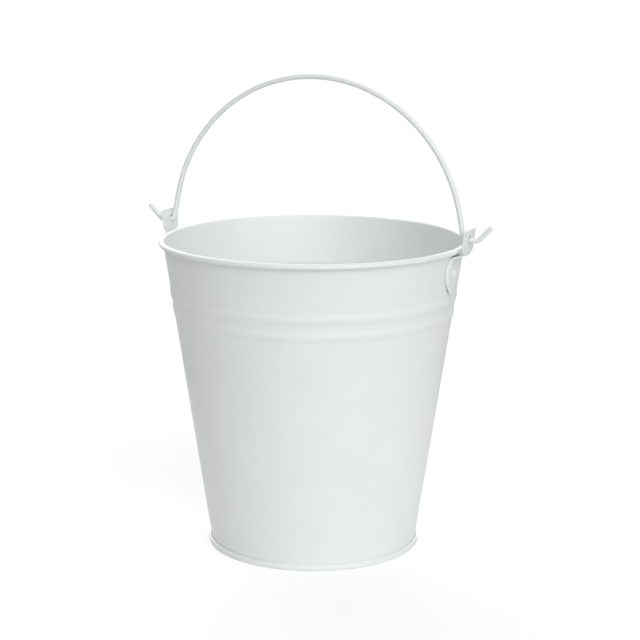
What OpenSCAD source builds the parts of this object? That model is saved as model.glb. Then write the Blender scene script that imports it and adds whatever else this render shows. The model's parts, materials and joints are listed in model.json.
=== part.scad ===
// Florist bucket: a tapered sheet-metal pail with a wired rim, two raised beads, a double-seamed
// bottom, two riveted ears and one wire bail. Millimetres, +Z up, the origin on the floor
// under the middle of the bucket, and the ears on the X axis.

/* [Bucket] */
// Outside diameter over the rolled rim
rim_d = 220; // [180:1:300]
// Height from the floor to the top of the rolled rim
bucket_h = 222; // [160:1:320]
// Outside diameter over the bottom seam
chime_d = 152.6; // [120:0.2:172]
// Thickness of the wall and bottom sheet
sheet = 0.6; // [0.5:0.1:0.9]

/* [Rim] */
// Diameter of the wire inside the rolled rim
rim_wire_d = 2.6; // [2:0.1:4]

/* [Beads] */
// Number of raised beads round the wall
bead_count = 2; // [1:1:3]
// Distance from one bead to the next, measured down the height
bead_pitch = 12; // [9:0.2:16]
// Width of a bead
bead_w = 10; // [4:0.5:14]
// How far a bead stands out from the wall
bead_rise = 0.7; // [0.4:0.1:1.5]
// Height left between the ears and the upper bead
bead_drop = 1.8; // [1:0.2:20]

/* [Side seam] */
// Width of the folded side seam
seam_w = 7; // [5:0.5:10]
// How far the side seam stands out from the wall
seam_rise = 0.7; // [0.4:0.1:1.2]
// Direction of the side seam from the middle, in degrees round from +X
seam_angle = 203; // [196:1:344]

/* [Bottom] */
// Height of the bottom sheet's underside above the floor
pan_lift = 6.5; // [6:0.5:12]
// Height of the folded bottom seam
chime_h = 4.2; // [4:0.1:6]

/* [Ears] */
// Thickness of the ear plates
ear_t = 1.2; // [1:0.1:1.6]
// Width of an ear's upper plate
ear_w = 22; // [18:0.5:26]
// Width of the neck between the two plates of an ear
neck_w = 12; // [9:0.5:14]
// Width of an ear's lower plate
shield_w = 25; // [20:0.5:30]
// Width of the rounded tip of an ear's lower plate
tongue_w = 12; // [9:0.5:18]
// Outward lean of an ear's plates, in degrees
ear_lean = 6; // [4:0.5:8]
// Space between the rim and the ear plate at the height of the hole
ear_stand = 5.3; // [4.5:0.1:8]
// Height of the hole above the top of the rim
hole_rise = 6.2; // [5:0.2:10]
// Diameter of the hole in an ear
hole_d = 5; // [4.8:0.1:6]
// Diameter of the rivet's shank
rivet_d = 3.4; // [2.5:0.1:4.5]
// Diameter of the rivet's domed head
rivet_head_d = 7; // [6:0.1:9]
// Distance of the rivet below the widest place of an ear's lower plate
rivet_drop = 1.9; // [0:0.1:4]

/* [Bail] */
// Diameter of the bail wire
bail_wire_d = 3.7; // [3:0.1:4.2]
// Height of the top of the bail's centreline above its pivot
bail_h = 107.3; // [90:0.1:160]
// Space between the bail's leg and the inside of the ear
leg_gap = 1.6; // [1.5:0.1:3]
// Lean of the bail's legs, inwards from the ears up to the arch, in degrees
leg_lean = 11; // [4:0.5:16]
// Length of the straight hook at each end of the bail
hook_l = 12.4; // [8:0.2:16]
// Angle of the hooks above level, in degrees
hook_angle = 46; // [30:1:60]

/* [Hidden] */
$fn = 96;

paint = "white";
bare_steel = "silver";

fold_gap = 0.05;                 // between the layers of a fold
fit = 0.05;                      // between fixed pieces that lie on each other
arc_step = 10;                   // degrees between the points of a bent sheet

// Rolled rim
rim_r = rim_d / 2;
curl_r = rim_wire_d / 2 + fold_gap + sheet / 2;        // middle of the rolled sheet
curl_out = curl_r + sheet / 2;
curl_x = rim_r - curl_out;
curl_z = bucket_h - curl_out;
curl_turn = 360 - acos(1 - (sheet + fold_gap) / curl_r);

// Bottom seam: five layers of sheet, numbered outwards from the bottom's own upright
layer = sheet + fold_gap;
skirt_x = chime_d / 2 - sheet / 2 - 3 * layer;         // middle of the wall inside the seam
skirt_z = chime_h + 1;                                 // where the wall starts to lean outwards
foot_corner = 0.9;
hook_z = sheet + fold_gap + layer + sheet / 2;         // centre of the wall's lower turn
wall_hook_top = chime_h - layer - sheet - fold_gap;
pan_hook_z = chime_h - layer - sheet / 2;              // centre of the bottom's upper turn
pan_hook_end = hook_z + fold_gap;
pan_corner = 2.2;

// The wall is a straight cone from the seam up to where it runs into the rolled rim
rise_x = curl_x - skirt_x;
rise_z = curl_z - skirt_z;
taper = atan2(rise_x, rise_z) - asin(curl_r / norm([rise_x, rise_z]));
wall_dir = [sin(taper), cos(taper)];
wall_out = [cos(taper), -sin(taper)];
curl_start = [curl_x, curl_z] - curl_r * wall_out;

// Distance of the wall from the axis at height z, moved outwards by off from its middle
function wall_x(z, off = 0) = skirt_x + (z - skirt_z) * tan(taper) + off / cos(taper);

// Ears: each is drawn in a frame at its hole, x outwards, z up along the plate
shield_drop = shield_w / 2 + 2.5;                      // from the rim's middle to the widest place
ear_foot = shield_drop + 16.2;                         // from the rim's middle to the ear's lower tip
pivot_z = bucket_h + hole_rise;
ear_x = rim_r + ear_stand + ear_t / 2;
ear_top = 7.6;
plate_corner = 6;
top_corner = 1.2;
neck_turn = 70;
neck_r = 1.9;
hole_to_rim = pivot_z - curl_z;
shield_z = -(hole_to_rim + shield_drop) / cos(ear_lean);
shield_r = shield_w / 2;
tongue_r = tongue_w / 2;
tongue_z = -(hole_to_rim + ear_foot) / cos(ear_lean) + tongue_r;
shield_off = 0.6;                // space between the lower plate and the wall at its widest place
ear_lip = 1.2;                   // width of the lower plate's turned edge
shield_height = pivot_z + shield_z * cos(ear_lean);
back_x = wall_x(shield_height, sheet / 2) + shield_off;
joggle = (ear_x + shield_z * sin(ear_lean) - back_x) / cos(ear_lean) - ear_t / 2;
neck_l = (joggle - 2 * neck_r * (1 - cos(neck_turn))) / sin(neck_turn);
neck_drop = 2 * neck_r * sin(neck_turn) + neck_l * cos(neck_turn);
ear_bottom = curl_z - ear_foot;

// The rim's middle in the ear's frame; the neck's lower bend passes under it with neck_clear to spare
neck_clear = 1.44;
rim_in_ear = [
    (curl_x - ear_x) * cos(ear_lean) + hole_to_rim * sin(ear_lean),
    (curl_x - ear_x) * sin(ear_lean) - hole_to_rim * cos(ear_lean)
];
bend_to_rim = neck_r + ear_t / 2 + curl_out + neck_clear;
bend_below_rim = sqrt(bend_to_rim ^ 2 - (neck_r - joggle - rim_in_ear[0]) ^ 2);
plate_foot = bend_below_rim - rim_in_ear[1] - neck_drop;   // from the hole to where the neck turns in

// Beads: the wall swells outwards in a smooth wave at each of them
bead_step = 1;                   // height between the points of the beaded band
beads_high = ear_bottom - bead_drop;
beads_low = beads_high - bead_w - (bead_count - 1) * bead_pitch;
function bead_z(i) = beads_high - bead_w / 2 - i * bead_pitch;
function swell(z) = max([
    for (i = [0:bead_count - 1])
        bead_rise * (1 + cos(180 * min(1, abs(z - bead_z(i)) / (bead_w / 2)))) / 2
]);

// Rivets
rivet_clear = 0.1;
head_h = 1.5;
tail_d = rivet_head_d - 1.8;
tail_h = 0.8;

// Bail: the arch and bends are a hair thicker than the straight wire, whose ends lap them a little
bail_wire_r = bail_wire_d / 2;
bend_r = 3;
bend_swell = 0.02;
lap = 0.1;
bend_x = rim_r + ear_stand - leg_gap - bail_wire_r + bend_r;

// The arch runs on into straight legs, or, where the bail is too low for them, right into the bends
bare_r = (bend_x ^ 2 + (bail_h - bend_r) ^ 2 - bend_r ^ 2) / (2 * bail_h);
bare_angle = asin((bend_r - bail_h + bare_r) / (bare_r + bend_r));
has_leg = leg_lean > bare_angle + 1;
leg_angle = has_leg ? leg_lean : bare_angle;
bail_r = (bend_x * cos(leg_angle) - (bail_h - bend_r) * sin(leg_angle) - bend_r) / (1 - sin(leg_angle));
leg_l = (bail_h - bail_r - bend_r) * cos(leg_angle) + bend_x * sin(leg_angle);
arch_z = pivot_z + bail_h - bail_r;
arch_lap = has_leg ? 0 : atan(lap / bail_r);
arch_wire_d = has_leg ? bail_wire_d + 2 * bend_swell : bail_wire_d;
inner_bend = [bend_x, pivot_z + bend_r];
leg_foot = inner_bend - bend_r * [cos(leg_angle), sin(leg_angle)];
pin_end = ear_x + ear_t / 2 + 5.2;
outer_bend = [pin_end, pivot_z + bend_r];
hook_start = outer_bend + bend_r * [sin(hook_angle), -cos(hook_angle)];

// Points along an arc of a bent sheet, from angle a to angle b
function arc_points(centre, r, a, b) =
    let (n = max(2, ceil(abs(b - a) / arc_step)))
    [for (i = [0:n]) let (t = a + (b - a) * i / n) centre + r * [cos(t), sin(t)]];

// Direction of a path at point i, taken over the points on both sides of it
function path_dir(path, i) =
    let (v = path[min(i + 1, len(path) - 1)] - path[max(i - 1, 0)])
    v / norm(v);

function path_side(path, d) =
    [for (i = [0:len(path) - 1]) let (v = path_dir(path, i)) path[i] + d * [-v[1], v[0]]];

function backwards(points) = [for (i = [len(points) - 1:-1:0]) points[i]];

// A sheet of thickness t bent along a path
module bent_sheet(path, t) {
    polygon(concat(path_side(path, t / 2), backwards(path_side(path, -t / 2))));
}

// The wall's beaded band, from its lower end up
function bead_points() =
    let (n = round((beads_high - beads_low) / bead_step))
    [
        for (i = [0:n])
            let (z = beads_low + (beads_high - beads_low) * i / n)
            [wall_x(z), z] + swell(z) * wall_out
    ];

function wall_path() = concat(
    [[skirt_x + 2 * layer, wall_hook_top]],
    arc_points([skirt_x + layer, hook_z], layer, 0, -180),
    [[skirt_x, skirt_z]],
    bead_points(),
    arc_points([curl_x, curl_z], curl_r, 180 - taper, 180 - taper - curl_turn)
);

function pan_path() =
    let (
        up_x = skirt_x - layer,
        out_x = skirt_x + 3 * layer,
        floor_z = pan_lift + sheet / 2,
        low_z = sheet / 2
    )
    concat(
        [[0, floor_z]],
        arc_points([up_x - pan_corner, floor_z - pan_corner], pan_corner, 90, 0),
        arc_points([up_x + foot_corner, low_z + foot_corner], foot_corner, 180, 270),
        arc_points([out_x - foot_corner, low_z + foot_corner], foot_corner, -90, 0),
        arc_points([out_x - layer, pan_hook_z], layer, 0, 180),
        [[skirt_x + layer, pan_hook_end]]
    );

// Folded side seam: a flat strip on the outside of the wall, over the beads
module side_seam() {
    low = [skirt_x, skirt_z];
    path = concat(
        [low + 0.5 * wall_dir],
        bead_points(),
        [curl_start - 3.2 * wall_dir]
    );
    spread = 2 * asin(seam_w / skirt_x);
    intersection() {
        rotate_extrude(angle = spread, start = seam_angle - spread / 2)
            polygon(concat(path_side(path, 0), backwards(path_side(path, -seam_rise - sheet / 2))));
        rotate([0, 0, seam_angle]) translate([0, -seam_w / 2, 0]) cube([rim_r, seam_w, bucket_h]);
    }
}

// Moves to the ear's frame on the +X side
module at_ear() {
    translate([ear_x, 0, pivot_z]) rotate([0, ear_lean, 0]) children();
}

// Moves to the rivet's axis, its z along the axis and its zero on the lower plate's outer face
module at_rivet() {
    at_ear() translate([ear_t / 2 - joggle, 0, shield_z - rivet_drop]) rotate([0, 90, 0]) children();
}

// Middle of the ear's sheet, seen from the side: upper plate, neck and lower plate
function ear_path() =
    let (
        a = [-neck_r, -plate_foot],
        b = a + neck_r * [cos(neck_turn), -sin(neck_turn)] + neck_l * [-sin(neck_turn), -cos(neck_turn)],
        c = b + neck_r * [cos(neck_turn), -sin(neck_turn)]
    )
    concat(
        [[0, ear_top]],
        arc_points(a, neck_r, 0, -neck_turn),
        arc_points(c, neck_r, 180 - neck_turn, 180),
        [[-joggle, tongue_z - tongue_r - ear_t]]
    );

// Outline of the lower plate, drawn in by d: two round ends joined by straight sides
function shield_points(d) =
    let (side = asin((shield_r - tongue_r) / (shield_z - tongue_z)))
    concat(
        arc_points([0, shield_z], shield_r - d, 180 + side, -side),
        arc_points([0, tongue_z], tongue_r - d, -side, side - 180)
    );

module upper_outline() {
    half = ear_w / 2;
    polygon(concat(
        arc_points([half - top_corner, ear_top - top_corner], top_corner, 90, 0),
        arc_points([half - plate_corner, -plate_foot + plate_corner], plate_corner, 0, -90),
        arc_points([plate_corner - half, -plate_foot + plate_corner], plate_corner, -90, -180),
        arc_points([top_corner - half, ear_top - top_corner], top_corner, 180, 90)
    ));
}

module ear_outline() {
    upper_outline();
    translate([-neck_w / 2, shield_z]) square([neck_w, -shield_z - plate_foot + plate_corner / 2]);
    polygon(shield_points(0));
}

// Turns an outline drawn in y and z to face outwards, from x = from over depth d
module facing_out(from, d) {
    translate([from, 0, 0]) rotate([90, 0, 90]) linear_extrude(d) children();
}

// Everything that the wall's outer face encloses, grown by off
module wall_core(off) {
    low = shield_height - shield_w;
    translate([0, 0, low])
        cylinder(h = bucket_h - low, r1 = wall_x(low, off), r2 = wall_x(bucket_h, off), $fn = 360);
}

module ear() {
    color(paint) difference() {
        union() {
            at_ear() intersection() {
                rotate([90, 0, 0]) linear_extrude(ear_w + shield_w, center = true)
                    bent_sheet(ear_path(), ear_t);
                facing_out(-joggle - ear_w / 2, joggle + ear_w) ear_outline();
            }
            at_ear() facing_out(-joggle - ear_t / 2 - ear_lip, ear_lip + ear_t / 2) difference() {
                polygon(shield_points(0));
                polygon(shield_points(ear_lip));
                translate([-neck_w / 2, shield_z]) square([neck_w, shield_w]);
            }
            at_rivet() translate([0, 0, -ear_t - 2]) cylinder(h = 2 + ear_t / 2, d = rivet_head_d + 1);
        }
        wall_core(sheet / 2 + fit);
        translate([ear_x - ear_w / 2, 0, pivot_z]) rotate([0, 90, 0]) cylinder(h = ear_w, d = hole_d);
        at_rivet() translate([0, 0, -ear_w / 2]) cylinder(h = ear_w, d = rivet_d + rivet_clear);
    }
}

module rivet() {
    dome_r = (head_h * head_h + rivet_head_d * rivet_head_d / 4) / (2 * head_h);
    color(paint) union() {
        at_rivet() intersection() {
            translate([0, 0, head_h - dome_r]) sphere(r = dome_r);
            translate([0, 0, fit]) cylinder(h = head_h, d = rivet_head_d);
        }
        at_rivet() translate([0, 0, -ear_t - shield_off - sheet - tail_h / 2])
            cylinder(h = ear_t + shield_off + sheet + tail_h / 2 + head_h / 2, d = rivet_d);
        intersection() {
            at_rivet() translate([0, 0, -ear_t - shield_off - sheet - tail_h])
                cylinder(h = sheet + tail_h, d = tail_d);
            wall_core(-sheet / 2 - fit);
        }
    }
}

module other_side() {
    rotate([0, 0, 180]) children();
}

module wall() {
    color(paint) difference() {
        union() {
            rotate_extrude() bent_sheet(wall_path(), sheet);
            side_seam();
        }
        at_rivet() translate([0, 0, -ear_w / 2]) cylinder(h = ear_w, d = rivet_d + rivet_clear);
        other_side() at_rivet() translate([0, 0, -ear_w / 2])
            cylinder(h = ear_w, d = rivet_d + rivet_clear);
    }
}

module rim_wire() {
    color(bare_steel) translate([0, 0, curl_z]) rotate_extrude() translate([curl_x, 0])
        circle(d = rim_wire_d);
}

module bottom_pan() {
    color(paint) rotate_extrude() bent_sheet(pan_path(), sheet);
}

module ear_right() {
    ear();
}

module ear_left() {
    other_side() ear();
}

module rivet_right() {
    rivet();
}

module rivet_left() {
    other_side() rivet();
}

// A round wire bent in the X-Z plane about a centre, from angle a over a turn
module wire_arc(centre, r, a, turn, d) {
    translate([centre[0], 0, centre[1]]) rotate([90, 0, 0]) rotate_extrude(angle = turn, start = a)
        translate([r, 0]) circle(d = d);
}

module bend(centre, a, turn) {
    wire_arc(centre, bend_r, a, turn, bail_wire_d + 2 * bend_swell);
}

// A straight piece of wire in the X-Z plane, at an angle above +X, with its laps before and after
module wire_line(from, angle, l, before = lap, after = lap) {
    translate([from[0], 0, from[1]]) rotate([0, 90 - angle, 0]) translate([0, 0, -before])
        cylinder(h = l + before + after, d = bail_wire_d);
}

// One end of the bail: leg, bend into the ear, pin and hook
module bail_end() {
    if (has_leg) wire_line(leg_foot, 90 + leg_angle, leg_l);
    bend(inner_bend, 180 + leg_angle, 90 - leg_angle);
    wire_line([inner_bend[0], pivot_z], 0, pin_end - inner_bend[0]);
    bend(outer_bend, -90, hook_angle);
    wire_line(hook_start, hook_angle, hook_l, lap, 0);
}

module bail() {
    color(paint) union() {
        wire_arc([0, arch_z], bail_r, leg_angle - arch_lap, 180 - 2 * (leg_angle - arch_lap), arch_wire_d);
        bail_end();
        other_side() bail_end();
    }
}

wall();
rim_wire();
bottom_pan();
ear_left();
ear_right();
rivet_left();
rivet_right();
bail();
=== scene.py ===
"""Florist bucket: its visible metalwork, paint, light and camera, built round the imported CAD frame.

Metres, +Z up, the origin on the floor under the middle of the bucket, and the ears on the X axis.
"""

import json
from bisect import bisect
from math import acos, asin, atan2, ceil, cos, hypot, pi, radians, sin, sqrt, tan

import bmesh
import bpy
from mathutils import Matrix, Vector


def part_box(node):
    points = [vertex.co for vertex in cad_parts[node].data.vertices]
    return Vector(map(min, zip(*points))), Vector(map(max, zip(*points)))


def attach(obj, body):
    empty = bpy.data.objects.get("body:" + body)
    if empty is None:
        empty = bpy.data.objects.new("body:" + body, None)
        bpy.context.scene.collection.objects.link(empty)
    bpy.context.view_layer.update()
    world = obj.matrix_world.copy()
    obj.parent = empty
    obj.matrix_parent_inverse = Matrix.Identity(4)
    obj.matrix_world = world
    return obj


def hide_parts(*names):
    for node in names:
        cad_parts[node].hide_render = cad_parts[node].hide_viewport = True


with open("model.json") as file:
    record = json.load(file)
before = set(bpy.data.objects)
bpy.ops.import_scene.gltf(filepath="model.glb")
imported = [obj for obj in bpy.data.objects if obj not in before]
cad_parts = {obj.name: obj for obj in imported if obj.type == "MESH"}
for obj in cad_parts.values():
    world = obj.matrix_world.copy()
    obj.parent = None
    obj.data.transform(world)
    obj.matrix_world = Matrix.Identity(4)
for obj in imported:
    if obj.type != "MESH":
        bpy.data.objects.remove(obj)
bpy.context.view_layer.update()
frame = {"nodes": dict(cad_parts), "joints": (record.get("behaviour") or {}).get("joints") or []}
MM = 0.001


# ---------------------------------------------------------------- sizes taken from the frame

PIVOT_Z = frame["joints"][0]["pos_m"][2]
RIM_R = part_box("wall")[1].x
WIRE_LOW, WIRE_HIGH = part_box("rim_wire")
RIM_WIRE_R = (WIRE_HIGH.z - WIRE_LOW.z) / 2
CURL_Z = (WIRE_HIGH.z + WIRE_LOW.z) / 2
CURL_X = WIRE_HIGH.x - RIM_WIRE_R
CHIME_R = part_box("bottom_pan")[1].x
PAN_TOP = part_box("bottom_pan")[1].z
HOOK_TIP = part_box("bail")[1].x
BAIL_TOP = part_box("bail")[1].z
EAR_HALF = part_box("ear_right")[1].y
EAR_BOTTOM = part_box("ear_right")[0].z

# ---------------------------------------------------------------- sizes of the sheet metal

SHEET = 0.6 * MM                   # wall and bottom
FOLD_GAP = 0.05 * MM               # between the layers of a fold
LAYER = SHEET + FOLD_GAP

CURL_R = RIM_WIRE_R + FOLD_GAP + SHEET / 2
CURL_TURN = 2 * pi - acos(1 - LAYER / CURL_R)

CHIME_H = 4.2 * MM                 # height of the folded bottom seam
SKIRT_X = CHIME_R - SHEET / 2 - 3 * LAYER
SKIRT_RISE = 1 * MM                # from the seam's top to where the wall starts to lean outwards
SKIRT_Z = CHIME_H + SKIRT_RISE
FOOT_CORNER = 0.9 * MM
HOOK_Z = SHEET + FOLD_GAP + LAYER + SHEET / 2
WALL_HOOK_TOP = CHIME_H - LAYER - SHEET - FOLD_GAP
PAN_HOOK_Z = CHIME_H - LAYER - SHEET / 2
PAN_HOOK_END = HOOK_Z + FOLD_GAP
PAN_CORNER = 2.2 * MM

RISE_X = CURL_X - SKIRT_X
RISE_Z = CURL_Z - SKIRT_Z
TAPER = atan2(RISE_X, RISE_Z) - asin(CURL_R / hypot(RISE_X, RISE_Z))
UP_WALL = Vector((sin(TAPER), cos(TAPER)))
OUT_WALL = Vector((cos(TAPER), -sin(TAPER)))

BEAD_COUNT = 2
BEAD_PITCH = 12 * MM
BEAD_W = 10 * MM
BEAD_RISE = 0.7 * MM
BEAD_DROP = 1.8 * MM               # between the ears and the upper bead

SEAM_W = 7 * MM
SEAM_RISE = 0.7 * MM
SEAM_SHOULDER = 0.6 * MM
SEAM_ANGLE = radians(203)
SEAM_FOOT = 0.5 * MM               # from the wall's lean to the seam's lower end
SEAM_HEAD = 3 * MM                 # from the seam's upper end to the rolled rim
SEAM_FADE = 1.5 * MM               # height over which each end of the seam sinks into the wall
SEAM_REACH = 3 * MM                # the seam lies on what is this close to the plain wall

# Ears, in a frame at the middle of the hole: x outwards, z up along the plate
EAR_T = 1.2 * MM
EAR_W = 22 * MM
NECK_W = 12 * MM
TONGUE_R = 6 * MM
EAR_LEAN = radians(6)
EAR_OUT = 5.3 * MM                 # from the rim to the upper plate, at the hole
EAR_X = RIM_R + EAR_OUT + EAR_T / 2
EAR_TOP = 7.6 * MM
TOP_CORNER = 1.2 * MM
PLATE_FOOT = 9.2 * MM
PLATE_CORNER = 6 * MM
NECK_TURN = radians(70)
NECK_R = 1.9 * MM
HOLE_R = 2.5 * MM
SHIELD_R = EAR_HALF
SHIELD_DROP = 15 * MM              # from the rim's roll to the lower plate's widest place
TONGUE_DROP = 31.2 * MM            # from the rim's roll to the lower plate's tip
SHIELD_Z = -(PIVOT_Z - CURL_Z + SHIELD_DROP) / cos(EAR_LEAN)
TONGUE_Z = -(PIVOT_Z - CURL_Z + TONGUE_DROP) / cos(EAR_LEAN) + TONGUE_R
SHIELD_OFF = 0.6 * MM              # between the lower plate and the wall at its widest place
EDGE_R = 0.35 * MM                 # the paint's rounding of a cut edge
FILLET = 3 * MM                    # where the neck runs into the plates
LIP_W = 2.2 * MM                   # the lower plate's edge, turned in to the wall
LIP_LEAST = 0.15                   # share of the gap to the wall that the edge closes at the tip
LIP_MORE = 0.84                    # and what is added to it away from the tip
LIP_CURVE = 1.6                    # how much of the turn is close to the edge

RIVET_R = 1.7 * MM
HEAD_R = 3.5 * MM
HEAD_H = 1.5 * MM
RIVET_DROP = 1.9 * MM              # below the widest place of the lower plate
TAIL_R = 2.6 * MM
TAIL_H = 0.8 * MM
TAIL_CORNER = 0.6 * MM
HEAD_LIP = 0.12 * MM               # height of the dome's edge over the plate
HEAD_STEP = 0.25 * MM              # how far the dome's edge stays inside the head

BAIL_R = (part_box("bail")[1].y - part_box("bail")[0].y) / 2
BAIL_H = BAIL_TOP - BAIL_R - PIVOT_Z
LEG_GAP = 1.6 * MM
LEG_LEAN = radians(11)
BEND_R = 3 * MM
BEND_X = EAR_X - EAR_T / 2 - LEG_GAP - BAIL_R + BEND_R
ARCH_R = (BEND_X * cos(LEG_LEAN) - (BAIL_H - BEND_R) * sin(LEG_LEAN) - BEND_R) / (1 - sin(LEG_LEAN))
PIN_OUT = 5.2 * MM                 # from the ear's outer face to the hook's bend
PIN_END = EAR_X + EAR_T / 2 + PIN_OUT
HOOK_ANGLE = radians(46)
HOOK_ROUND = 0.7 * MM              # rounding of the wire's cut ends
WIRE_STEPS = 24                    # points round the wire
HANG_SPOT = 1.1 * MM               # size of the bare spot under the top of the arch
PIN_RUB_L = 1.6 * MM               # length of the rubbed paint on each pin, each way from the ear
PIN_RUB_UP = 0.6 * MM              # height over the pin's middle at which the rubbing ends


# ---------------------------------------------------------------- paths in a plane

def arc(centre, radius, start, end, step=radians(6)):
    """Points along an arc, from one angle to another."""
    count = max(2, ceil(abs(end - start) / step))
    angles = [start + (end - start) * i / count for i in range(count + 1)]
    return [Vector((centre[0] + radius * cos(a), centre[1] + radius * sin(a))) for a in angles]


def without_repeats(points):
    """The same path without points that fall on the one before."""
    kept = [points[0]]
    for p in points[1:]:
        if (p - kept[-1]).length > 1e-7:
            kept.append(p)
    return kept


def divided(points, longest):
    """The same path with its long straight stretches cut into shorter ones."""
    result = [points[0]]
    for a, b in zip(points, points[1:]):
        count = max(1, ceil((b - a).length / longest))
        result += [a.lerp(b, i / count) for i in range(1, count + 1)]
    return result


def right_normals(path):
    """Unit normals on the right-hand side of a path."""
    result = []
    for i in range(len(path)):
        d = (path[min(i + 1, len(path) - 1)] - path[max(i - 1, 0)]).normalized()
        result.append(Vector((d.y, -d.x)))
    return result


def sheet_outline(path, thickness, open_start=False):
    """Closed outline of a sheet bent along a path, with round cut edges: (point, side) pairs.

    Side is 1 on the right of the path, -1 on its left, and 0 on the cut edges.
    """
    half = thickness / 2
    normals = right_normals(path)
    outline = [(p + n * half, 1) for p, n in zip(path, normals)]
    outline += [(p, 0) for p in edge_points(path[-1], normals[-1], half, 1)]
    outline += [(p - n * half, -1) for p, n in zip(reversed(path), reversed(normals))]
    if not open_start:
        outline += [(p, 0) for p in edge_points(path[0], normals[0], half, -1)]
    return outline


def edge_points(end, normal, half, way):
    """Points round a cut edge, from the right side to the left at the end, or back at the start."""
    along = Vector((-normal.y, normal.x)) * way
    first = normal * way
    return [end + (first * cos(a) + along * sin(a)) * half for a in (pi / 4, pi / 2, 3 * pi / 4)]


# ---------------------------------------------------------------- meshes

def smooth_step(x):
    """0 below 0, 1 above 1, and a smooth rise between them."""
    x = min(max(x, 0), 1)
    return x * x * (3 - 2 * x)


def piece(name, verts, faces, material, stands_for, body, wear=None):
    """A closed mesh that stands for a CAD node and rides on its body."""
    mesh = bpy.data.meshes.new(name)
    mesh.from_pydata([tuple(v) for v in verts], [], faces)
    bm = bmesh.new()
    bm.from_mesh(mesh)
    bmesh.ops.recalc_face_normals(bm, faces=bm.faces)
    bm.to_mesh(mesh)
    bm.free()
    mesh.shade_smooth()
    mesh.set_sharp_from_angle(angle=radians(48))
    rubbed = mesh.attributes.new("wear", "FLOAT", "POINT")
    rubbed.data.foreach_set("value", [wear(v) if wear else 0.0 for v in verts])
    obj = bpy.data.objects.new(name, mesh)
    bpy.context.scene.collection.objects.link(obj)
    mesh.materials.append(material)
    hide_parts(stands_for)
    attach(obj, body)
    return obj


def ring_faces(rings, closed=False):
    """Quads between rings of vertex numbers; a ring of one number closes to a point."""
    faces = []
    pairs = list(zip(rings, rings[1:])) + ([(rings[-1], rings[0])] if closed else [])
    for a, b in pairs:
        count = max(len(a), len(b))
        for j in range(count):
            k = (j + 1) % count
            corners = [a[j % len(a)], a[k % len(a)], b[k % len(b)], b[j % len(b)]]
            corners = list(dict.fromkeys(corners))
            if len(corners) > 2:
                faces.append(corners)
    return faces


def revolve(outline, steps, place=None):
    """Turns (radius, height) points round the Z axis; the outline is closed, or ends on the axis."""
    verts, rings = [], []
    on_axis = outline[0].x < 1e-9
    for p in outline:
        if p.x < 1e-9:
            ring = [len(verts)]
            verts.append(Vector((0, 0, p.y)))
        else:
            ring = list(range(len(verts), len(verts) + steps))
            for i in range(steps):
                a = 2 * pi * i / steps
                verts.append(Vector((p.x * cos(a), p.x * sin(a), p.y)))
        rings.append(ring)
    if place is not None:
        verts = [place @ v for v in verts]
    return verts, ring_faces(rings, closed=not on_axis)


# ---------------------------------------------------------------- wall

def wall_mid_x(z):
    """Radius of the middle of the plain wall's sheet at height z."""
    return SKIRT_X + (z - SKIRT_Z) * tan(TAPER)


def wall_outer_x(z):
    """Radius of the plain wall's outer face at height z."""
    return wall_mid_x(z) + SHEET / 2 / cos(TAPER)


def bead_z(i):
    """Height of the middle of a bead, counted down from the ears."""
    return EAR_BOTTOM - BEAD_DROP - BEAD_W / 2 - i * BEAD_PITCH


def bead(z, count=12):
    """One raised bead: the wall swells outwards in a smooth wave."""
    points = []
    for i in range(-count, count + 1):
        along = i / count * BEAD_W / 2
        rise = BEAD_RISE * (1 + cos(pi * i / count)) / 2
        points.append(Vector((wall_mid_x(z), z)) + UP_WALL * along + OUT_WALL * rise)
    return points


def wall_path():
    """Middle of the wall's sheet from its lower hook, up the beads, round the rim's wire."""
    path = [Vector((SKIRT_X + 2 * LAYER, WALL_HOOK_TOP))]
    path += arc((SKIRT_X + LAYER, HOOK_Z), LAYER, 0, -pi, radians(20))
    path.append(Vector((SKIRT_X, SKIRT_Z)))
    path += [p for i in reversed(range(BEAD_COUNT)) for p in bead(bead_z(i))]
    path += arc((CURL_X, CURL_Z), CURL_R, pi - TAPER, pi - TAPER - CURL_TURN)
    return divided(without_repeats(path), 6 * MM)


ROUND_STEPS = 264                  # columns round the rest of the wall


def seam_profile(across):
    """Share of the seam's rise at a distance from its middle: sharp on one side, soft on the other."""
    half = SEAM_W / 2
    if across < 0:
        return smooth_step((half + across) / (SEAM_SHOULDER / 2))
    return smooth_step((half - across) / (2 * SEAM_SHOULDER))


def seam_columns():
    """Distances across the seam where the wall's columns stand, closer together at its edges."""
    half = SEAM_W / 2
    fold = [-half + SEAM_SHOULDER / 2 * s for s in (0, 0.25, 0.5, 0.75, 1)]
    soft = [half - 2 * SEAM_SHOULDER * s for s in (1, 0.75, 0.5, 0.25, 0)]
    return fold + [0] + soft


def build_wall(material):
    outline = sheet_outline(wall_path(), SHEET)
    columns = seam_columns()
    seam_low = SKIRT_Z + SEAM_FOOT
    seam_high = CURL_Z - CURL_R - SEAM_HEAD
    verts, rings = [], []
    for p, side in outline:
        radius = p.x
        angles = [SEAM_ANGLE + c / radius for c in columns]
        gap = 2 * pi - (columns[-1] - columns[0]) / radius
        angles += [angles[-1] + gap * i / ROUND_STEPS for i in range(1, ROUND_STEPS)]
        ends = smooth_step((p.y - seam_low) / SEAM_FADE) * smooth_step((seam_high - p.y) / SEAM_FADE)
        ring = []
        for i, a in enumerate(angles):
            lift = 0
            if side == 1 and i < len(columns) and abs(p.x - wall_outer_x(p.y)) < SEAM_REACH:
                lift = SEAM_RISE * seam_profile(columns[i]) * ends
            out = Vector((cos(a), sin(a), 0))
            ring.append(len(verts))
            verts.append(out * (radius + lift * cos(TAPER)) + Vector((0, 0, p.y - lift * sin(TAPER))))
        rings.append(ring)
    return piece("wall_sheet", verts, ring_faces(rings, closed=True), material, "wall", "bucket")


# ---------------------------------------------------------------- bottom

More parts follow.
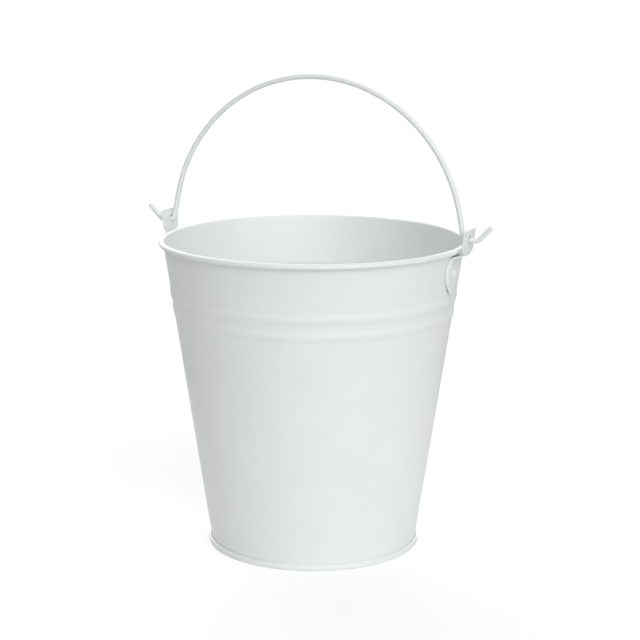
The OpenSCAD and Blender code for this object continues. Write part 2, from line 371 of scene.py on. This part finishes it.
def build_bottom(material):
    up_x = SKIRT_X - LAYER
    out_x = SKIRT_X + 3 * LAYER
    floor_z = PAN_TOP - SHEET / 2
    low_z = SHEET / 2
    path = [Vector((0, floor_z))]
    path += arc((up_x - PAN_CORNER, floor_z - PAN_CORNER), PAN_CORNER, pi / 2, 0, radians(10))
    path += arc((up_x + FOOT_CORNER, low_z + FOOT_CORNER), FOOT_CORNER, pi, 3 * pi / 2, radians(10))
    path += arc((out_x - FOOT_CORNER, low_z + FOOT_CORNER), FOOT_CORNER, -pi / 2, 0, radians(10))
    path += arc((out_x - LAYER, PAN_HOOK_Z), LAYER, 0, pi, radians(12))
    path.append(Vector((SKIRT_X + LAYER, PAN_HOOK_END)))
    path = divided(without_repeats(path), 8 * MM)
    outline = [p for p, side in sheet_outline(path, SHEET, open_start=True)]
    verts, faces = revolve(outline, 240)
    return piece("bottom_sheet", verts, faces, material, "bottom_pan", "bucket")


# ---------------------------------------------------------------- ears

def ear_sheet_path():
    """Middle of the ear's sheet seen from the side, from its top edge down: plate, neck, plate."""
    joggle = ear_joggle()
    neck_l = (joggle - 2 * NECK_R * (1 - cos(NECK_TURN))) / sin(NECK_TURN)
    first = Vector((-NECK_R, -PLATE_FOOT))
    ray = Vector((cos(NECK_TURN), -sin(NECK_TURN)))
    second = first + ray * 2 * NECK_R + Vector((-sin(NECK_TURN), -cos(NECK_TURN))) * neck_l
    path = [Vector((0, EAR_TOP))]
    path += arc(first, NECK_R, 0, -NECK_TURN, radians(8))
    path += arc(second, NECK_R, pi - NECK_TURN, pi, radians(8))
    path.append(Vector((-joggle, TONGUE_Z - TONGUE_R)))
    return without_repeats(path)


def ear_joggle():
    """How far the lower plate is stepped in from the upper one."""
    back_x = wall_outer_x(PIVOT_Z + SHIELD_Z * cos(EAR_LEAN)) + SHIELD_OFF
    return (EAR_X + SHIELD_Z * sin(EAR_LEAN) - back_x) / cos(EAR_LEAN) - EAR_T / 2


def smooth_max(a, b, k):
    """The larger of two values, with a fillet of size k where they cross."""
    h = max(k - abs(a - b), 0) / k
    return max(a, b) + h * h * k / 4


def circle_half(radius, offset):
    """Half width of a circle at a distance from its middle."""
    return sqrt(max(radius * radius - offset * offset, 0))


def plate_half(z):
    """Half width of the upper plate at height z."""
    half = EAR_W / 2
    top = EAR_TOP - TOP_CORNER
    low = PLATE_CORNER - PLATE_FOOT
    if z > top:
        return half - TOP_CORNER + circle_half(TOP_CORNER, z - top)
    if z < low:
        return half - PLATE_CORNER + circle_half(PLATE_CORNER, low - z)
    return half


def shield_half(z):
    """Half width of the lower plate at height z: two round ends joined by straight sides."""
    side = asin((SHIELD_R - TONGUE_R) / (SHIELD_Z - TONGUE_Z))
    if z > SHIELD_Z - SHIELD_R * sin(side):
        return circle_half(SHIELD_R, z - SHIELD_Z)
    if z < TONGUE_Z - TONGUE_R * sin(side):
        return circle_half(TONGUE_R, z - TONGUE_Z)
    return (SHIELD_R + (z - SHIELD_Z) * sin(side)) / cos(side)


def ear_half(z):
    """Half width of the ear's sheet at height z: the plates, joined by the neck."""
    neck = NECK_W / 2
    if z > -PLATE_FOOT:
        return smooth_max(plate_half(z), neck, FILLET) if z < 0 else plate_half(z)
    if z > SHIELD_Z:
        return smooth_max(shield_half(z), neck, FILLET)
    return shield_half(z)


EDGE_STEPS = (0, 0.12, 0.35, 0.65, 1)          # columns across a rounded cut edge, in edge radii
EAR_CELLS = 16                                 # columns between the rounded edges
HOLE_CELLS = 4                                 # columns on each side of the hole that its rings take up
BEND_ROWS = 5                                  # rows from the hole's patch to the neck
LOWER_ROWS = 34                                # rows down the lower plate, closer together at its tip
TIP_HALF = 0.02 * MM                           # half width of the sheet at its very tip
HOLE_RUB = 0.5 * MM                            # how far from the hole's edge the paint is rubbed


def edge_half(distance):
    """Half thickness of the ear's sheet at a distance from its cut edge."""
    flat = EAR_T / 2 - EDGE_R
    inside = min(distance / EDGE_R, 1)
    return flat + EDGE_R * sqrt(1 - (1 - inside) ** 2)


def turned_in(y, z, distance):
    """How far the lower plate's edge is turned in to the wall."""
    if z > SHIELD_Z + SHIELD_R or distance > LIP_W:
        return 0
    joggle = ear_joggle()
    back = Vector((EAR_X, PIVOT_Z)) + turned(Vector((-joggle - EAR_T / 2, z)))
    wall = sqrt(wall_outer_x(back.y) ** 2 - y * y)
    gap = max(back.x - wall, 0) / cos(EAR_LEAN)
    closed = smooth_step((z - TONGUE_Z + 0.7 * TONGUE_R) / TONGUE_R)
    return gap * (LIP_LEAST + LIP_MORE * closed) * (1 - distance / LIP_W) ** LIP_CURVE


def turned(p):
    """From the ear's frame, seen from the side, to the row's directions."""
    return Vector((p.x * cos(EAR_LEAN) + p.y * sin(EAR_LEAN), -p.x * sin(EAR_LEAN) + p.y * cos(EAR_LEAN)))


def build_ear(side, name, material, stands_for):
    """One ear, laid out as rows and columns on its sheet; side is 1 on the right and -1 on the left."""
    path = ear_sheet_path()
    lengths = [0]
    for a, b in zip(path, path[1:]):
        lengths.append(lengths[-1] + (b - a).length)
    normals = right_normals(path)

    def along(s):
        """Point and outward normal of the sheet's middle at a distance from its top edge."""
        i = min(max(bisect(lengths, s) - 1, 0), len(path) - 2)
        share = (s - lengths[i]) / (lengths[i + 1] - lengths[i])
        n = normals[i].lerp(normals[i + 1], share).normalized()
        return path[i].lerp(path[i + 1], share), -n

    total = lengths[-1]
    inner = EAR_W / 2 - EDGE_R
    cell = 2 * inner / EAR_CELLS
    patch = HOLE_CELLS * cell
    edge_rows = [EDGE_R * e for e in EDGE_STEPS]
    hole_rows = [EAR_TOP - patch + cell * i for i in range(2 * HOLE_CELLS + 1)]
    above = [EDGE_R + (hole_rows[0] - EDGE_R) * f for f in (0.25, 0.5, 0.75)]
    rows = edge_rows + above + hole_rows
    bend_start = lengths[1]
    rows += [rows[-1] + (bend_start - rows[-1]) * i / BEND_ROWS for i in range(1, BEND_ROWS + 1)]
    rows += lengths[2:-1]
    left = total - rows[-1]
    straight = rows[-1]
    rows += [straight + left * sin(pi / 2 * i / LOWER_ROWS) for i in range(1, LOWER_ROWS)]
    rows = sorted(set(round(r, 9) for r in rows))
    hole_index = rows.index(round(hole_rows[0], 9))

    verts, pairs = [], {}

    def vertex(key, y, s, distance):
        """Numbers of the outer and inner vertex at a place on the sheet."""
        if key not in pairs:
            middle, out = along(s)
            half = edge_half(distance)
            shift = turned_in(y, middle.y, distance)
            numbers = []
            for way in (1, -1):
                p = middle + out * way * half - Vector((1, 0)) * shift
                p = turned(p) + Vector((EAR_X, PIVOT_Z))
                numbers.append(len(verts))
                verts.append(Vector((side * p.x, side * y, p.y)))
            pairs[key] = numbers
        return pairs[key]

    def row_columns(s):
        """Places across the sheet at a distance from its top edge, with the distance to the cut edge."""
        half = max(ear_half(along(s)[0].y), TIP_HALF)
        edge = min(EDGE_R, half * 0.6)
        flat = [-(half - edge) + 2 * (half - edge) * i / EAR_CELLS for i in range(EAR_CELLS + 1)]
        near = [-half + edge * e for e in EDGE_STEPS[:-1]]
        return near + flat + [-y for y in reversed(near)], half

    columns = len(row_columns(0)[0])
    first_flat = len(EDGE_STEPS) - 1
    middle_column = first_flat + EAR_CELLS // 2
    hole_first = middle_column - HOLE_CELLS
    hole_last = middle_column + HOLE_CELLS
    rows_last = hole_index + 2 * HOLE_CELLS

    def grid(i, j):
        s = rows[i]
        ys, half = row_columns(s)
        z = along(s)[0].y
        distance = min(half - abs(ys[j]), s)
        if z < TONGUE_Z:
            distance = min(distance, TONGUE_R - hypot(ys[j], z - TONGUE_Z))
        return vertex((i, j), ys[j], s, max(distance, 0))

    faces = []

    def cover(a, b, c, d):
        """A quad on the outer face and one on the inner."""
        faces.append([a[0], b[0], c[0], d[0]])
        faces.append([d[1], c[1], b[1], a[1]])

    for i in range(len(rows) - 1):
        for j in range(columns - 1):
            if hole_index <= i < rows_last and hole_first <= j < hole_last:
                continue
            cover(grid(i, j), grid(i, j + 1), grid(i + 1, j + 1), grid(i + 1, j))

    last = len(rows) - 1
    rim = [grid(0, j) for j in range(columns)]
    rim += [grid(i, columns - 1) for i in range(1, last + 1)]
    rim += [grid(last, j) for j in range(columns - 2, -1, -1)]
    rim += [grid(i, 0) for i in range(last - 1, 0, -1)]
    for a, b in zip(rim, rim[1:] + rim[:1]):
        faces.append([a[0], a[1], b[1], b[0]])

    # Rings from the square in the grid to the hole
    square = [(hole_index, j) for j in range(hole_first, hole_last)]
    square += [(i, hole_last) for i in range(hole_index, rows_last)]
    square += [(rows_last, j) for j in range(hole_last, hole_first, -1)]
    square += [(i, hole_first) for i in range(rows_last, hole_index, -1)]
    radii = [HOLE_R + EDGE_R * e for e in reversed(EDGE_STEPS)]
    rings = [[grid(i, j) for i, j in square]]
    spots = []
    for i, j in square:
        spots.append(Vector((row_columns(rows[i])[0][j], EAR_TOP - rows[i])))
    for k, share in enumerate((0.33, 0.66)):
        ring = []
        for m, spot in enumerate(spots):
            target = spot.normalized() * radii[0]
            p = spot.lerp(target, share)
            ring.append(vertex(("mid", k, m), p.x, EAR_TOP - p.y, EDGE_R))
        rings.append(ring)
    for k, radius in enumerate(radii):
        ring = []
        for m, spot in enumerate(spots):
            p = spot.normalized() * radius
            ring.append(vertex(("hole", k, m), p.x, EAR_TOP - p.y, radius - HOLE_R))
        rings.append(ring)
    for a, b in zip(rings, rings[1:]):
        for m in range(len(a)):
            n = (m + 1) % len(a)
            cover(a[m], a[n], b[n], b[m])
    bore = rings[-1]
    for m in range(len(bore)):
        n = (m + 1) % len(bore)
        faces.append([bore[m][0], bore[n][0], bore[n][1], bore[m][1]])

    hole = Vector((side * EAR_X, 0, PIVOT_Z))

    def wear(v):
        """Paint rubbed off the hole's edge by the bail, most on the upper half, where it is carried."""
        near = Vector(v) - hole
        ring = abs(hypot(near.y, near.z) - HOLE_R)
        return max(0, 1 - ring / HOLE_RUB) * (0.9 if near.z > -HOLE_RUB else 0.5)

    return piece(name, verts, faces, material, stands_for, "bucket", wear)


# ---------------------------------------------------------------- rivets

def build_rivet(side, name, material, stands_for):
    """A domed head outside, a shank, and a flattened tail inside the wall."""
    joggle = ear_joggle()
    inside = EAR_T + SHIELD_OFF + SHEET
    dome_r = (HEAD_H ** 2 + HEAD_R ** 2) / (2 * HEAD_H)
    swing = asin((HEAD_R - HEAD_STEP) / dome_r)
    outline = [Vector((0, HEAD_H))]
    outline += arc((0, HEAD_H - dome_r), dome_r, pi / 2, pi / 2 - swing, radians(6))[1:]
    outline += [Vector((HEAD_R, HEAD_LIP)), Vector((HEAD_R, 0)), Vector((RIVET_R, 0))]
    outline += [Vector((RIVET_R, -inside)), Vector((TAIL_R, -inside))]
    corner = (TAIL_R - TAIL_CORNER, -inside - TAIL_H + TAIL_CORNER)
    outline += arc(corner, TAIL_CORNER, 0, -pi / 2, radians(18))
    outline.append(Vector((0, -inside - TAIL_H)))
    place = (
        Matrix.Rotation(0 if side > 0 else pi, 4, "Z")
        @ Matrix.Translation((EAR_X, 0, PIVOT_Z))
        @ Matrix.Rotation(EAR_LEAN, 4, "Y")
        @ Matrix.Translation((EAR_T / 2 - joggle, 0, SHIELD_Z - RIVET_DROP))
        @ Matrix.Rotation(pi / 2, 4, "Y")
    )
    verts, faces = revolve(without_repeats(outline), 48, place)
    return piece(name, verts, faces, material, stands_for, "bucket")


# ---------------------------------------------------------------- bail

def bail_line():
    """Centreline of half the bail in the X-Z plane, from the middle of the arch to the hook's tip."""
    arch_z = PIVOT_Z + BAIL_H - ARCH_R
    inner = Vector((BEND_X, PIVOT_Z + BEND_R))
    outer = Vector((PIN_END, PIVOT_Z + BEND_R))
    hook_start = outer + Vector((sin(HOOK_ANGLE), -cos(HOOK_ANGLE))) * BEND_R
    reach = HOOK_TIP - BAIL_R * sin(HOOK_ANGLE) - hook_start.x
    tip = hook_start + Vector((1, tan(HOOK_ANGLE))) * reach
    path = arc((0, arch_z), ARCH_R, pi / 2, LEG_LEAN, radians(1.5))
    path += arc(inner, BEND_R, pi + LEG_LEAN, 3 * pi / 2, radians(8))
    path += arc(outer, BEND_R, -pi / 2, HOOK_ANGLE - pi / 2, radians(8))
    path.append(tip)
    return divided(without_repeats(path), 3 * MM)


def build_bail(material):
    half = bail_line()
    path = [Vector((-p.x, p.y)) for p in reversed(half[1:])] + half
    normals = right_normals(path)
    sections = []
    for way, i in ((-1, 0), (1, len(path) - 1)):
        n = normals[i]
        forward = Vector((-n.y, n.x)) * way
        cap = []
        for a in (0, pi / 8, pi / 4, 3 * pi / 8, pi / 2):
            back = HOOK_ROUND * (1 - sin(a))
            radius = BAIL_R - HOOK_ROUND * (1 - cos(a))
            cap.append((path[i] - forward * back, n, radius))
        sections.append(cap)
    start, end = sections
    body = [(p, n, BAIL_R) for p, n in zip(path[1:-1], normals[1:-1])]
    rows = list(reversed(start)) + body + end
    verts, rings = [], []
    verts.append(Vector((path[0].x, 0, path[0].y)))
    rings.append([0])
    for p, n, radius in rows:
        ring = []
        for k in range(WIRE_STEPS):
            a = 2 * pi * k / WIRE_STEPS
            ring.append(len(verts))
            offset = n * cos(a) * radius
            verts.append(Vector((p.x + offset.x, sin(a) * radius, p.y + offset.y)))
        rings.append(ring)
    rings.append([len(verts)])
    verts.append(Vector((path[-1].x, 0, path[-1].y)))

    def wear(v):
        """Bare spot under the top of the arch, where the wire hung for painting, and rubbed pins."""
        hang = hypot(hypot(v[0], v[1]), v[2] - (BAIL_TOP - 2 * BAIL_R)) / HANG_SPOT
        pin = abs(abs(v[0]) - EAR_X) / PIN_RUB_L + max(0, v[2] - PIVOT_Z) / PIN_RUB_UP
        return max(0, 1 - hang ** 2, 0.8 * (1 - pin))

    return piece("bail_wire", verts, ring_faces(rings), material, "bail", "bail", wear)


# ---------------------------------------------------------------- materials

# How many of each kind of mark there are to the metre
CLOUDS = 28
SATIN_PATCHES = 90
NIBS = 150
DULL_PATCHES = 160
MOTTLE = 240
PEEL = 420
RAGGED = 1400
FINE_PEEL = 2600
WIRE_MARKS = (60, 60, 2400)

NIB_CORE, NIB_EDGE = 0.02, 0.07    # radii of a nib, in shares of the distance between nibs
NIB_HEIGHT = 0.8                   # in peel heights
CHIP_DEPTH = 3.0
PEEL_HEIGHT = 0.04 * MM
MARK_HEIGHT = 0.03 * MM
GLOSS_SPREAD = 0.03                # how far the roughness wanders each way
BARE_STEEL = (0.16, 0.155, 0.15)


class Nodes:
    """A small helper for building a node tree from left to right."""

    def __init__(self, tree):
        self.tree = tree
        tree.nodes.clear()

    def add(self, kind, inputs=None, **settings):
        """A new node, with its inputs linked or set and its settings set."""
        node = self.tree.nodes.new(kind)
        for key, value in settings.items():
            setattr(node, key, value)
        for key, value in (inputs or {}).items():
            socket = node.inputs[key]
            if isinstance(value, bpy.types.NodeSocket):
                self.tree.links.new(value, socket)
            else:
                socket.default_value = value
        return node


def noise(nodes, where, scale, detail=2.0):
    """Soft random marks, scale of them to the metre."""
    return nodes.add("ShaderNodeTexNoise", {
        "Vector": where, "Scale": scale, "Detail": detail, "Roughness": 0.5}).outputs["Fac"]


def between(nodes, value, low, high, start=0.3, end=0.7):
    """A value from low to high, as the first one goes from start to end."""
    return nodes.add("ShaderNodeMapRange", {
        "Value": value, "From Min": start, "From Max": end,
        "To Min": low, "To Max": high}).outputs["Result"]


def blend_colours(nodes, share, first, second):
    """A mix of two colours, each a plain one or the output of another node."""
    node = nodes.add("ShaderNodeMix", {"Factor": share}, data_type="RGBA")
    for socket, value in ((node.inputs[6], first), (node.inputs[7], second)):
        if isinstance(value, bpy.types.NodeSocket):
            nodes.tree.links.new(value, socket)
        else:
            socket.default_value = (*value, 1)
    return node.outputs[2]


def powder_coat(name, light_tone, deep_tone, gloss=0.32):
    """Satin powder coat: faint clouds, orange peel, small nibs, and grey steel where it is rubbed."""
    material = bpy.data.materials.new(name)
    material.use_nodes = True
    nodes = Nodes(material.node_tree)
    where = nodes.add("ShaderNodeTexCoord").outputs["Object"]
    clouds = noise(nodes, where, CLOUDS, 3)
    mottle = noise(nodes, where, MOTTLE)
    colour = blend_colours(nodes, between(nodes, clouds, 0, 1), light_tone, deep_tone)
    colour = blend_colours(nodes, between(nodes, mottle, 0, 0.25), colour, deep_tone)

    nibs = nodes.add("ShaderNodeTexVoronoi", {"Vector": where, "Scale": NIBS}).outputs["Distance"]
    nib = between(nodes, nibs, 1, 0, NIB_CORE, NIB_EDGE)
    rubbed = nodes.add("ShaderNodeAttribute", attribute_name="wear").outputs["Fac"]
    ragged = nodes.add("ShaderNodeMath", {0: rubbed, 1: noise(nodes, where, RAGGED, 3)}, operation="ADD")
    bare = between(nodes, ragged.outputs[0], 0, 1, 0.95, 1.2)
    colour = blend_colours(nodes, bare, colour, BARE_STEEL)

    peel = noise(nodes, where, PEEL)
    fine = noise(nodes, where, FINE_PEEL)
    height = nodes.add("ShaderNodeMath", {0: peel, 1: fine}, operation="ADD")
    with_nibs = nodes.add("ShaderNodeMath", {
        0: nib, 1: NIB_HEIGHT, 2: height.outputs[0]}, operation="MULTIPLY_ADD")
    chipped = nodes.add("ShaderNodeMath", {
        0: bare, 1: -CHIP_DEPTH, 2: with_nibs.outputs[0]}, operation="MULTIPLY_ADD")
    bump = nodes.add("ShaderNodeBump", {
        "Strength": 0.55, "Distance": PEEL_HEIGHT, "Height": chipped.outputs[0]})
    patches = noise(nodes, where, SATIN_PATCHES, 3)
    satin = between(nodes, patches, gloss - GLOSS_SPREAD, gloss + GLOSS_SPREAD)
    shader = nodes.add("ShaderNodeBsdfPrincipled", {
        "Base Color": colour, "Roughness": satin, "Metallic": between(nodes, bare, 0, 0.8, 0, 1),
        "IOR": 1.5, "Normal": bump.outputs["Normal"]})
    out = nodes.add("ShaderNodeOutputMaterial")
    material.node_tree.links.new(shader.outputs[0], out.inputs[0])
    return material


def drawn_steel(name):
    """Plain drawn wire: fine marks along it and a little dulling."""
    material = bpy.data.materials.new(name)
    material.use_nodes = True
    nodes = Nodes(material.node_tree)
    where = nodes.add("ShaderNodeTexCoord").outputs["Object"]
    stretched = nodes.add("ShaderNodeMapping", {"Vector": where, "Scale": WIRE_MARKS}).outputs[0]
    marks = noise(nodes, stretched, 1, 3)
    dull = noise(nodes, where, DULL_PATCHES, 3)
    colour = blend_colours(nodes, between(nodes, dull, 0, 1), (0.50, 0.50, 0.49), (0.38, 0.375, 0.36))
    bump = nodes.add("ShaderNodeBump", {"Strength": 0.4, "Distance": MARK_HEIGHT, "Height": marks})
    shader = nodes.add("ShaderNodeBsdfPrincipled", {
        "Base Color": colour, "Roughness": between(nodes, marks, 0.28, 0.45),
        "Metallic": 1.0, "Normal": bump.outputs["Normal"]})
    out = nodes.add("ShaderNodeOutputMaterial")
    material.node_tree.links.new(shader.outputs[0], out.inputs[0])
    return material


# ---------------------------------------------------------------- studio

LIGHTS = (
    # azimuth and elevation in degrees, and brightness, of each soft light round the studio
    (-50, 35, 3.0),                 # key light, a little to the right of the camera
    (-20, 10, 0.5),                 # its soft edge, down to the table on the right
    (90, 10, 1.5),                  # the lit background behind the bucket
    (130, 20, 3.0),                 # light from behind on the left, for the rim and the left edge
    (180, 60, 0.5),                 # weak fill from above on the left
)
LIGHT_SPREAD = 6.0                  # the higher, the narrower each soft light is
FLOOR_TONE = 0.6
FLOOR_HALF = 40                     # half the wide floor's side
FLOOR_GLOW = 0.0                    # the wide floor gives back only the light that falls on it
TABLE_GLOW = 0.2                    # light of its own of the table close round the bucket
TABLE_HALF = 0.35
SEEN_LEVEL = -0.05 * MM             # just under the bucket, each floor a hair below the last
TABLE_LEVEL = -0.08 * MM
FLOOR_LEVEL = -0.1 * MM
SEEN_GLOW = 0.475                   # what makes the lit table look white, but for the shade at the base


def direction_to(azimuth, elevation):
    """Where a light stands, seen from the bucket, from two angles in degrees."""
    a, e = radians(azimuth), radians(elevation)
    return Vector((cos(a) * cos(e), sin(a) * cos(e), sin(e)))


def build_floor(name, level, glow, half=FLOOR_HALF):
    """A plain pale square floor, with as much light of its own as glow says."""
    mesh = bpy.data.meshes.new(name)
    corners = [(-half, -half, level), (half, -half, level), (half, half, level), (-half, half, level)]
    mesh.from_pydata(corners, [], [(0, 1, 2, 3)])
    floor = bpy.data.objects.new(name, mesh)
    bpy.context.scene.collection.objects.link(floor)
    material = bpy.data.materials.new(name)
    material.use_nodes = True
    nodes = Nodes(material.node_tree)
    shader = nodes.add("ShaderNodeBsdfPrincipled", {
        "Base Color": (FLOOR_TONE, FLOOR_TONE, FLOOR_TONE, 1), "Roughness": 1.0, "Specular IOR Level": 0.0,
        "Emission Color": (1, 1, 1, 1), "Emission Strength": glow})
    out = nodes.add("ShaderNodeOutputMaterial")
    material.node_tree.links.new(shader.outputs[0], out.inputs[0])
    mesh.materials.append(material)
    return floor


def build_studio():
    """Wide soft lights that fade into each other, a floor that is only seen, and two that only light."""
    scene = bpy.context.scene
    world = bpy.data.worlds.new("studio")
    world.use_nodes = True
    scene.world = world
    nodes = Nodes(world.node_tree)
    direction = nodes.add("ShaderNodeTexCoord").outputs["Generated"]
    total = 0.0
    for azimuth, elevation, brightness in LIGHTS:
        facing = nodes.add("ShaderNodeVectorMath", {
            0: direction, 1: direction_to(azimuth, elevation)}, operation="DOT_PRODUCT").outputs["Value"]
        front = nodes.add("ShaderNodeMath", {0: facing, 1: 0.0}, operation="MAXIMUM").outputs[0]
        lobe = nodes.add("ShaderNodeMath", {0: front, 1: LIGHT_SPREAD}, operation="POWER").outputs[0]
        total = nodes.add("ShaderNodeMath", {
            0: lobe, 1: brightness, 2: total}, operation="MULTIPLY_ADD").outputs[0]
    back = nodes.add("ShaderNodeBackground", {"Color": (1, 1, 1, 1), "Strength": total})
    out = nodes.add("ShaderNodeOutputWorld")
    world.node_tree.links.new(back.outputs[0], out.inputs[0])

    seen = build_floor("floor", SEEN_LEVEL, SEEN_GLOW)
    for kind in ("visible_diffuse", "visible_glossy", "visible_transmission", "visible_shadow"):
        setattr(seen, kind, False)
    thrown = build_floor("floor_light", FLOOR_LEVEL, FLOOR_GLOW)
    thrown.visible_camera = False
    table = build_floor("table_light", TABLE_LEVEL, TABLE_GLOW, TABLE_HALF)
    table.visible_camera = False
    scene.view_settings.view_transform = "Standard"


# ---------------------------------------------------------------- camera

CAMERA_AWAY = 1.2611                # level distance from the bucket's axis
CAMERA_ROUND = radians(24.33)       # how far round to the right of straight on
CAMERA_ABOVE_RIM = 0.2094           # above the middle of the rolled rim
CAMERA_HEADING = radians(24.13)
CAMERA_DOWN = radians(11.966)
CAMERA_ROLL = radians(0.104)
LENS = 101.25                       # millimetres
SENSOR = 36                         # width in millimetres


def build_camera():
    """The camera of the photo's view, rolled a little about the way it looks."""
    data = bpy.data.cameras.new("camera")
    data.sensor_width = SENSOR
    data.lens = LENS
    camera = bpy.data.objects.new("camera", data)
    bpy.context.scene.collection.objects.link(camera)
    level = Vector((-sin(CAMERA_HEADING), cos(CAMERA_HEADING), 0))
    ahead = level * cos(CAMERA_DOWN) - Vector((0, 0, sin(CAMERA_DOWN)))
    right = Vector((cos(CAMERA_HEADING), sin(CAMERA_HEADING), 0))
    up = right.cross(ahead)
    right, up = (
        right * cos(CAMERA_ROLL) + up * sin(CAMERA_ROLL),
        up * cos(CAMERA_ROLL) - right * sin(CAMERA_ROLL),
    )
    height = CURL_Z + CAMERA_ABOVE_RIM
    at = Vector((CAMERA_AWAY * sin(CAMERA_ROUND), -CAMERA_AWAY * cos(CAMERA_ROUND), height))
    camera.matrix_world = Matrix((
        (right.x, up.x, -ahead.x, at.x),
        (right.y, up.y, -ahead.y, at.y),
        (right.z, up.z, -ahead.z, at.z),
        (0, 0, 0, 1),
    ))
    bpy.context.scene.camera = camera


# ---------------------------------------------------------------- the scene

build_camera()
build_studio()

white = powder_coat("white_powder_coat", (0.865, 0.90, 0.893), (0.84, 0.875, 0.868))
bail_white = powder_coat("bail_powder_coat", (0.865, 0.895, 0.89), (0.83, 0.86, 0.855), 0.31)
steel = drawn_steel("drawn_steel_wire")

build_wall(white)
build_bottom(white)
build_ear(1, "ear_right_plate", white, "ear_right")
build_ear(-1, "ear_left_plate", white, "ear_left")
build_rivet(1, "rivet_right_body", white, "rivet_right")
build_rivet(-1, "rivet_left_body", white, "rivet_left")
build_bail(bail_white)

rim_wire = frame["nodes"]["rim_wire"]
for material_slot in rim_wire.material_slots:
    material_slot.material = steel
